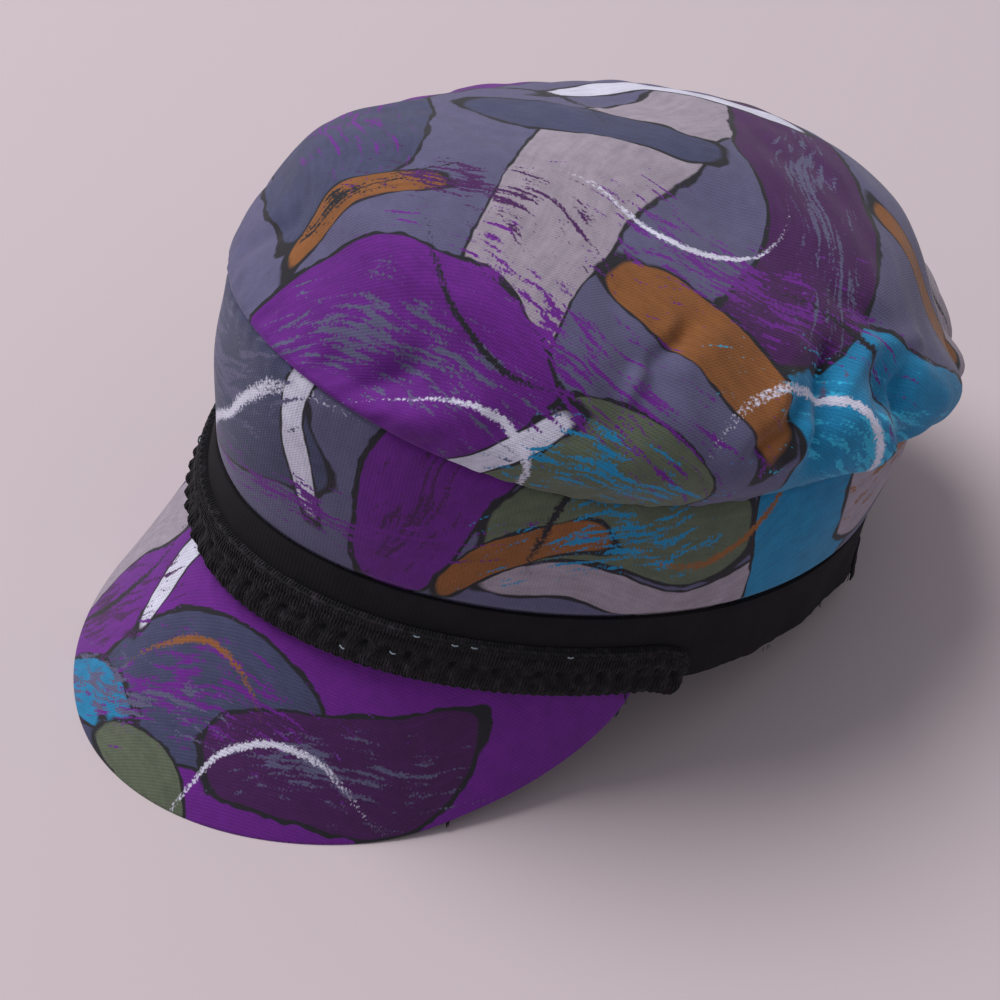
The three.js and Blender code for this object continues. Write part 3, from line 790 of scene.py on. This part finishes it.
# The braid: a black cotton gimp, 15 mm wide, of fine yarns laid across a soft core that
# swells into a row of puffs above its scalloped edge. It is sewn over the ribbon from temple
# to temple, and its turned ends droop a little.
BRAID_HALF_SPAN = math.radians(85)
BRAID_FOOT, BRAID_TOP = -1.1, 14.5
BRAID_DROOP, DROOP_REACH = 4.6, 13
BRAID_END_ROUND = 5.0
BRAID_FULL, BRAID_THIN = 2.6, 1.9  # how far out its face stands, and less at both edges
PUFF_PITCH, PUFF_LEAN = 5.6, 0.12
PUFF_RISE, PUFF_HEIGHT, PUFF_REACH = 1.3, 2.9, 2.1
DENT_DEPTH, DENT_HEIGHT, DENT_REACH = 1.25, 6.9, 1.5
CORD_RISE, CORD_REACH, CORD_HEIGHT, CHANNEL_HEIGHT = 0.45, 0.8, 13.1, 11.5
SCALLOP_PITCH, SCALLOP_OUT, SCALLOP_DROP, SCALLOP_REACH = 2.8, 0.25, 0.3, 1.6
SCALLOP_FADE, SCALLOP_TURNS = 0.8, (-35, 5)  # worn flat on the wearer's left, by this share
BRAID_COLUMNS, BRAID_ROWS = 920, 34
BRAID_BACK = 0.7  # how far the core's back stands off the wall
YARN_RADIUS, YARN_SPACING, YARN_LEAN = 0.26, 0.44, 0.8
YARN_PROUD = 0.12  # how far the laid yarns' middles stand above the core
YARN_WAVE = {"Wave width": 0.0001, "Wavelength": 0.0036, "Weave depth": 0.0001}
# The two edge cords: share up the braid's width, how far they stand above the core
EDGE_CORDS = [(0.955, 0.3), (0.04, 0.15)]
EDGE_CORD_RADIUS = 0.4
EDGE_CORD_WAVE = {"Wave width": 0.00016, "Wavelength": 0.0026, "Weave depth": 0.00016}

braid_turns = np.linspace(-BRAID_HALF_SPAN, BRAID_HALF_SPAN, 4001)
braid_line = wall_point(braid_turns, 0.0, 2.0)
braid_run = np.concatenate([[0], np.cumsum(np.linalg.norm(np.diff(braid_line, axis=0), axis=1))])
braid_length = braid_run[-1]


def braid_face(run, share, above=0.0):
    """A place on the braid's face: run in mm from its end, share up its width."""
    run, share = np.broadcast_arrays(run, share)
    turn = np.interp(run, braid_run, braid_turns)
    to_end = np.minimum(run, braid_length - run)
    rounding = 1 - np.clip(1 - to_end / BRAID_END_ROUND, 0, 1) ** 2.2
    height = BRAID_FOOT + (BRAID_TOP - BRAID_FOOT) * share
    puff = 0.5 + 0.5 * np.cos(2 * math.pi * (run / PUFF_PITCH - PUFF_LEAN * height / PUFF_PITCH))
    unevenness = 1 + 0.3 * np.sin(run * 0.83) * np.sin(run * 0.31 + 1)

    def hump(rise, at, reach):
        return rise * np.exp(-(((height - at) / reach) ** 2))

    out = BRAID_FULL - BRAID_THIN * np.abs(2 * share - 1) ** 7
    out = out + unevenness * puff * hump(PUFF_RISE, PUFF_HEIGHT, PUFF_REACH)
    out = out - unevenness * (1 - puff) ** 1.6 * hump(DENT_DEPTH, DENT_HEIGHT, DENT_REACH)
    out = out + hump(CORD_RISE, CORD_HEIGHT, CORD_REACH)
    out = out - hump(CORD_RISE, CHANNEL_HEIGHT, CORD_REACH)
    depth = 1 - SCALLOP_FADE * smoothstep(np.degrees(turn), *SCALLOP_TURNS)
    scallop = depth * np.cos(2 * math.pi * run / SCALLOP_PITCH)
    low = hump(1, BRAID_FOOT, SCALLOP_REACH)
    out = out + SCALLOP_OUT * scallop * low
    height = height - SCALLOP_DROP * scallop * low
    middle = (BRAID_FOOT + BRAID_TOP) / 2
    height = middle + (height - middle) * (0.62 + 0.38 * rounding)
    droop = BRAID_DROOP * np.clip(1 - to_end / DROOP_REACH, 0, 1) ** 1.6
    out = BRAID_BACK + (out - BRAID_BACK) * (0.35 + 0.65 * rounding)
    return wall_point(turn, height - droop, out + above)


run_columns = np.linspace(0, braid_length, BRAID_COLUMNS)
core_rows = [braid_face(run_columns, s) for s in np.linspace(0, 1, BRAID_ROWS)]
run_turns = np.interp(run_columns, braid_run, braid_turns)
core_backs = []
for edge in (core_rows[-1], core_rows[0]):
    core_backs.append(wall_point(run_turns, edge[:, 2] - wall_point(run_turns, 0.0)[:, 2],
                                 BRAID_BACK - 0.25))
core_rows = np.stack([core_backs[1], *core_rows, core_backs[0]])
core_uvs = np.stack([np.stack([run_columns, 0 * run_columns + k], axis=-1)
                     for k in range(len(core_rows))])
braid_core = sewn_mesh("braid_core", core_rows, core_uvs, is_ring=False, is_loop=True)

# A yarn that follows a route. Each route is a chain of mesh edges that carries the outward
# direction beside it, and the yarn waves sideways and weaves in and out as it goes.
laid_yarn = bpy.data.node_groups.new("Laid yarn", "GeometryNodeTree")
add_sockets(laid_yarn, "INPUT", {
    "Routes": "Geometry", "Radius": "Float", "Wave width": "Float", "Wavelength": "Float",
    "Weave depth": "Float", "Sides": "Int", "Seed": "Int", "Yarn": "Material"})
add_sockets(laid_yarn, "OUTPUT", {"Yarns": "Geometry"})
yarn_in = add_node(laid_yarn, "NodeGroupInput").outputs
routes = add_node(laid_yarn, "GeometryNodeMeshToCurve", {0: yarn_in["Routes"]})
run_along = add_node(laid_yarn, "GeometryNodeSplineParameter").outputs["Length"]
which = add_node(laid_yarn, "GeometryNodeCurveOfPoint")
start_turn = add_node(laid_yarn, "FunctionNodeRandomValue",
                      {"Max": 2 * math.pi, "ID": which, "Seed": yarn_in["Seed"]})
start_turn = next(s for s in start_turn.outputs if s.enabled)
cycles = add_node(laid_yarn, "ShaderNodeMath", {0: run_along, 1: yarn_in["Wavelength"]},
                  operation="DIVIDE")
wave_turn = add_node(laid_yarn, "ShaderNodeMath", {0: cycles, 1: 2 * math.pi, 2: start_turn},
                     operation="MULTIPLY_ADD")
swing = add_node(laid_yarn, "ShaderNodeMath", {0: wave_turn}, operation="SINE")
aside = add_node(laid_yarn, "ShaderNodeMath", {0: swing, 1: yarn_in["Wave width"]},
                 operation="MULTIPLY")
quarter = add_node(laid_yarn, "ShaderNodeMath", {0: wave_turn}, operation="COSINE")
depth = add_node(laid_yarn, "ShaderNodeMath", {0: quarter, 1: yarn_in["Weave depth"]},
                 operation="MULTIPLY")
outward = add_node(laid_yarn, "GeometryNodeInputNamedAttribute", {"Name": "outward"},
                   data_type="FLOAT_VECTOR")
tangent = add_node(laid_yarn, "GeometryNodeInputTangent")
sideways = add_node(laid_yarn, "ShaderNodeVectorMath", {0: tangent, 1: outward},
                    operation="CROSS_PRODUCT")
move_aside = add_node(laid_yarn, "ShaderNodeVectorMath", {0: sideways, "Scale": aside},
                      operation="SCALE")
move_out = add_node(laid_yarn, "ShaderNodeVectorMath", {0: outward, "Scale": depth},
                    operation="SCALE")
move = add_node(laid_yarn, "ShaderNodeVectorMath", {0: move_aside, 1: move_out}, operation="ADD")
laid = add_node(laid_yarn, "GeometryNodeSetPosition", {0: routes, "Offset": move})
section = add_node(laid_yarn, "GeometryNodeCurvePrimitiveCircle",
                   {"Resolution": yarn_in["Sides"], "Radius": yarn_in["Radius"]})
tube = add_node(laid_yarn, "GeometryNodeCurveToMesh",
                {"Curve": laid, "Profile Curve": section, "Fill Caps": True})
real = add_node(laid_yarn, "GeometryNodeRealizeInstances", {0: tube})
dyed = add_node(laid_yarn, "GeometryNodeSetMaterial",
                {"Geometry": real, "Material": yarn_in["Yarn"]})
add_node(laid_yarn, "NodeGroupOutput", {0: dyed})


def yarns(name, lines, outwards, material, sizes):
    """One object of the yarns that the tree lays along lines of points."""
    vertices, directions, edges = [], [], []
    for line, out in zip(lines, outwards):
        first = len(vertices)
        vertices += list(at_rest(line))
        directions += list(turned(np.broadcast_to(out, np.shape(line))))
        edges += [(first + k, first + k + 1) for k in range(len(line) - 1)]
    routes_mesh = bpy.data.meshes.new("routes")
    routes_mesh.from_pydata(vertices, [], [])
    routes_mesh.edges.add(len(edges))
    routes_mesh.edges.foreach_set("vertices", np.array(edges).ravel())
    routes_mesh.attributes.new("outward", "FLOAT_VECTOR", "POINT")
    routes_mesh.attributes["outward"].data.foreach_set("vector", np.array(directions).ravel())
    holder = in_scene("routes", routes_mesh)
    modifier = holder.modifiers.new("laid yarn", "NODES")
    modifier.node_group = laid_yarn
    values = {**sizes, "Yarn": material}
    for item in laid_yarn.interface.items_tree:
        if item.name in values:
            modifier[item.identifier] = values[item.name]
    seen = holder.evaluated_get(bpy.context.evaluated_depsgraph_get())
    mesh = bpy.data.meshes.new_from_object(seen)
    bpy.data.objects.remove(holder)
    mesh.polygons.foreach_set("use_smooth", [True] * len(mesh.polygons))
    return in_scene(name, mesh)


# Black cotton yarn: hairy and matt. Its colour has lighter grey patches painted in at random, as
# painted highlights for the greyish light that its strands catch.
black_yarn, tree = new_material("black cotton yarn")
yarn_place = add_node(tree, "ShaderNodeTexCoord").outputs["Object"]
strands = add_node(tree, "ShaderNodeTexNoise",
                   {"Vector": yarn_place, "Scale": 1 / 0.0006, "Detail": 3.0})
# Painted highlights: a noise that places lighter grey patches on the yarn, where its strands catch
# light.
yarn_painted_highlight_noise = add_node(tree, "ShaderNodeTexNoise",
                     {"Vector": yarn_place, "Scale": 1 / 0.0025, "Detail": 4.0})
painted_highlight_share = add_node(tree, "ShaderNodeMapRange", {0: yarn_painted_highlight_noise, 1: 0.5, 2: 0.8})
# The dark colour is the yarn's own, and the lighter one is the painted highlight.
yarn_colour = add_node(tree, "ShaderNodeMix",
                       {0: painted_highlight_share, 6: srgb("#17161a"), 7: srgb("#37323a")}, data_type="RGBA")
yarn_bump = add_node(tree, "ShaderNodeBump",
                     {"Height": strands, "Strength": 0.7, "Distance": 0.0003})
yarn_skin = add_node(tree, "ShaderNodeBsdfPrincipled",
                     {"Base Color": yarn_colour.outputs[2], "Normal": yarn_bump, "Roughness": 0.9,
                      "Specular IOR Level": 0.2, "Sheen Weight": 0.06, "Sheen Roughness": 0.5})
add_node(tree, "ShaderNodeOutputMaterial", {0: yarn_skin})
braid_core.data.materials.append(black_yarn)

# Each laid yarn runs down the braid's face and turns under at both of its edges.
lay_count = int(braid_length / YARN_SPACING)
lay_shares = np.linspace(0.99, 0.0, 17)
lay_lines, lay_outs = [], []
for k in range(lay_count):
    run = YARN_SPACING * (k + 0.5) + YARN_LEAN * (lay_shares - 0.5) * (1 if k % 2 else -0.4)
    run = np.clip(run, 0.3, braid_length - 0.3)
    line = braid_face(run, lay_shares, YARN_PROUD)
    out = wall_outward(np.interp(run[len(run) // 2], braid_run, braid_turns))
    over = [line[0] + 0.25 * UP - 0.3 * out, line[0] - 0.2 * UP - 0.9 * out]
    under = [line[-1] - 0.3 * UP - 0.25 * out, line[-1] - 0.25 * UP - 0.8 * out]
    lay_lines.append(np.concatenate([over[::-1], line, under]))
    lay_outs.append(out)
braid_laid = yarns("braid_yarns", lay_lines, lay_outs, black_yarn, {
    "Radius": YARN_RADIUS / 1000, **YARN_WAVE, "Sides": 5, "Seed": 5})
edge_run = np.linspace(1.5, braid_length - 1.5, 900)
edge_lines = [braid_face(edge_run, up, proud) for up, proud in EDGE_CORDS]
edge_outs = [wall_outward(np.interp(edge_run, braid_run, braid_turns)) for _ in EDGE_CORDS]
braid_edges = yarns("braid_edge_cords", edge_lines, edge_outs, black_yarn, {
    "Radius": EDGE_CORD_RADIUS / 1000, **EDGE_CORD_WAVE, "Sides": 7, "Seed": 8})
for piece in (braid_core, braid_laid, braid_edges):
    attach(piece, "root")
    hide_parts("braid_trim")

# Loose threads: frayed ends of the covering cloth, the ribbon and the braid, as fine and
# limp as sewing cotton.
# turn, height, outward offset, threads, spread in mm, length
TUFTS = [
    (76, -1.6, 1.6, 4, 0.8, 3.2),
    (104, 1.0, 0.3, 3, 2.0, 1.8),
    (121, 1.5, 0.5, 3, 4.0, 1.8),
    (134, 1.2, 3.2, 6, 3.4, 2.4),
    (141, 1.6, 2.6, 4, 3.0, 2.0),
    (-110, 1.4, 0.3, 6, 3.0, 2.8),
    (-142, 1.6, 0.3, 5, 3.0, 2.4),
]
# Bunches on the peak's edge: share of its half span, threads, length
EDGE_TUFTS = [(0.69, 9, 2.0), (0.985, 5, 1.8)]
THREAD_STEPS = 6
THREAD_CLEARANCE = 0.15  # a thread lies on the table, and not in it
random = np.random.default_rng(7)


def thread_line(start, heading, length, bend=0.2):
    """The bent line of one loose thread, which doesn't reach below the table."""
    points = [np.asarray(start, float)]
    for _ in range(THREAD_STEPS):
        heading = heading + random.normal(scale=bend, size=3)
        heading = heading / np.linalg.norm(heading)
        points.append(points[-1] + heading * length / THREAD_STEPS)
    line = np.array(points)
    below = np.minimum(rest_height(line) - THREAD_CLEARANCE, 0)
    return line - below[:, None] * table_up


thread_lines = []
for degrees, z, out, count, spread, length in TUFTS:
    for _ in range(count):
        turn = math.radians(degrees) + random.normal(scale=spread / 90 / 2)
        root = wall_point(turn, z, out - 0.2)
        heading = wall_outward(np.array(turn)) * random.uniform(0.1, 0.8) - UP
        thread_lines.append(thread_line(root, heading, length * random.uniform(0.5, 1.1)))
for edge_share, count, reach in EDGE_TUFTS:
    heading = peak_point(edge_share, 2.0) - peak_point(edge_share, 1.0)
    for k in range(count):
        root_share = edge_share + 0.006 * (k / (count - 1) - 0.5)
        root = peak_point(root_share, float(np.interp(root_share, share, longest)) - 0.4)
        reach_now = reach * (1.1 - 0.9 * abs(2 * k / (count - 1) - 1))
        thread_lines.append(thread_line(root, heading, reach_now, 0.07))
threads = yarns("loose_threads", thread_lines, [UP] * len(thread_lines), black_yarn, {
    "Radius": 0.00009, "Wave width": 0.00005, "Wavelength": 0.0015,
    "Weave depth": 0.00005, "Sides": 5, "Seed": 2})
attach(threads, "root")

# The ribbon's join behind the left ear: a scrap of its cut end that was left proud.
SCRAP_WIDTH, SCRAP_TOP, SCRAP_DROP, SCRAP_THICK = 9.0, 8.5, 0.9, 0.5
SCRAP_ROWS, SCRAP_COLUMNS = 12, 15
HEAD_RADIUS = 90  # near enough to turn a width into degrees there
scrap_turns = math.radians(EAR_TURN) + (
    np.linspace(-0.5, 0.5, SCRAP_COLUMNS) * SCRAP_WIDTH / HEAD_RADIUS)
curl_wave = 1 + np.sin(np.linspace(0, 7, SCRAP_COLUMNS))
torn_edge = 0.9 * np.abs(np.sin(np.arange(SCRAP_COLUMNS) * 2.1)) - 0.3
scrap_out = wall_outward(scrap_turns)
scrap_front, scrap_back = [], []
for down in np.linspace(0, 1, SCRAP_ROWS):
    height = SCRAP_TOP - (SCRAP_TOP + SCRAP_DROP) * down + torn_edge * down ** 3
    up_share = np.clip(height / RIBBON_HEIGHT, 0, 1)
    curl = 0.5 * down ** 2 + 0.2 * curl_wave * down + ear_flare(scrap_turns, up_share) - 0.3
    laid_on = wall_point(scrap_turns, height, RIBBON_FLARE * up_share)
    scrap_front.append(laid_on + (SCRAP_THICK + curl)[:, None] * scrap_out)
    scrap_back.append(laid_on + curl[:, None] * scrap_out)
scrap_grid = np.stack(scrap_front[::-1] + scrap_back)
scrap_uvs = np.stack([np.stack([scrap_turns * HEAD_RADIUS, 0 * scrap_turns + k], axis=-1)
                      for k in range(2 * SCRAP_ROWS)])
scrap = sewn_mesh("ribbon_scrap", scrap_grid, scrap_uvs, is_ring=False, is_loop=True)
scrap.data.materials.append(grosgrain)
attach(scrap, "root")

# Pale polyester tacking stitches on the braid: short, smooth and slightly shiny.
# run from the braid's right end as a share of its length, share up its width
STITCHES = [(0.716, 0.94), (0.752, 0.93), (0.770, 0.94), (0.862, 0.93), (0.70, 0.5),
            (0.655, 0.32), (0.36, 0.93), (0.22, 0.94)]
STITCH_LENGTH, STITCH_RADIUS, STITCH_RISE, STITCH_ARCH = 1.5, 0.22, 0.66, 1.2
stitch_thread, tree = new_material("pale polyester thread")
stitch_place = add_node(tree, "ShaderNodeTexCoord").outputs["Object"]
stitch_ply = add_node(tree, "ShaderNodeTexNoise",
                      {"Vector": stitch_place, "Scale": 1 / 0.0006, "Detail": 2.0})
stitch_colour = add_node(tree, "ShaderNodeMix",
                         {0: stitch_ply, 6: srgb("#56616c"), 7: srgb("#93a1ae")}, data_type="RGBA")
stitch_skin = add_node(tree, "ShaderNodeBsdfPrincipled",
                       {"Base Color": stitch_colour.outputs[2], "Roughness": 0.45})
add_node(tree, "ShaderNodeOutputMaterial", {0: stitch_skin})
stitch_lines, stitch_outs = [], []
for run_share, up_share in STITCHES:
    steps = np.linspace(-0.5, 0.5, 9)  # from one end of the stitch to the other
    arch = STITCH_RISE - STITCH_ARCH * steps ** 2
    run = run_share * braid_length + STITCH_LENGTH * steps
    stitch_lines.append(braid_face(run, up_share, arch))
    stitch_outs.append(wall_outward(np.interp(run[len(run) // 2], braid_run, braid_turns)))
stitches = yarns("tacking_stitches", stitch_lines, stitch_outs, stitch_thread, {
    "Radius": STITCH_RADIUS / 1000, "Wave width": 0.0, "Wavelength": 0.002,
    "Weave depth": 0.0, "Sides": 7, "Seed": 4})
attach(stitches, "root")

# The floor: a pale matt sheet, which isn't part of the cap.
FLOOR_HALF = 8.0
floor_mesh = bpy.data.meshes.new("floor")
floor_mesh.from_pydata(
    [(-FLOOR_HALF, -FLOOR_HALF, 0), (FLOOR_HALF, -FLOOR_HALF, 0),
     (FLOOR_HALF, FLOOR_HALF, 0), (-FLOOR_HALF, FLOOR_HALF, 0)], [], [(0, 1, 2, 3)])
floor = in_scene("floor", floor_mesh)
paper = bpy.data.materials.new("pale paper")
paper.use_nodes = True
paper_skin = paper.node_tree.nodes["Principled BSDF"]
paper_skin.inputs["Base Color"].default_value = srgb("#bbb0b6")
paper_skin.inputs["Roughness"].default_value = 0.9
floor_mesh.materials.append(paper)

# Soft daylight from above and the camera's left, with a weak fill from the room. The view
# is shown without a film curve, so that the cloth keeps its dyes' own colours.
WINDOW_PLACE = (-0.99, -0.63, 2.25)
WINDOW_SIZE, WINDOW_POWER, ROOM_LIGHT = 1.6, 60, 0.57
bpy.context.scene.view_settings.view_transform = "Standard"
sun_panel = bpy.data.lights.new("window", "AREA")
sun_panel.shape = "DISK"
sun_panel.size = WINDOW_SIZE
sun_panel.energy = WINDOW_POWER
sun_panel.color = (1.0, 0.97, 0.95)
window = in_scene("window", sun_panel)
window.location = WINDOW_PLACE
window.rotation_euler = (np.arctan2(-WINDOW_PLACE[1], WINDOW_PLACE[2]),
                         np.arctan2(WINDOW_PLACE[0], WINDOW_PLACE[2]), 0)
world = bpy.data.worlds.new("room")
world.use_nodes = True
room = world.node_tree.nodes["Background"]
room.inputs[0].default_value = srgb("#d9d6da")
room.inputs[1].default_value = ROOM_LIGHT
bpy.context.scene.world = world

# The camera stands to the cap as in the photograph: its place is given in the cap's frame.
CAMERA_TURN, CAMERA_RISE, CAMERA_ROLL = np.radians([43.67, 35.71, 19.09])
CAMERA_DISTANCE = 600
CAMERA_TARGET = np.array([26.8, -42.8, 30.0])
CAMERA_LENS = 83.1
back = np.array([math.sin(CAMERA_TURN) * math.cos(CAMERA_RISE),
                 -math.cos(CAMERA_TURN) * math.cos(CAMERA_RISE), math.sin(CAMERA_RISE)])
right = np.cross(UP, back)
right /= np.linalg.norm(right)
above = np.cross(back, right)
rolled_right = math.cos(CAMERA_ROLL) * right + math.sin(CAMERA_ROLL) * above
rolled_up = math.cos(CAMERA_ROLL) * above - math.sin(CAMERA_ROLL) * right
camera_matrix = np.eye(4)
camera_matrix[:3, :3] = np.stack([turned(v) for v in (rolled_right, rolled_up, back)], axis=1)
camera_matrix[:3, 3] = at_rest(CAMERA_TARGET + CAMERA_DISTANCE * back)
camera_data = bpy.data.cameras.new("camera")
camera_data.lens = CAMERA_LENS
camera_data.sensor_width = 36
camera = in_scene("camera", camera_data)
camera.matrix_world = camera_matrix.T.tolist()
bpy.context.scene.camera = camera
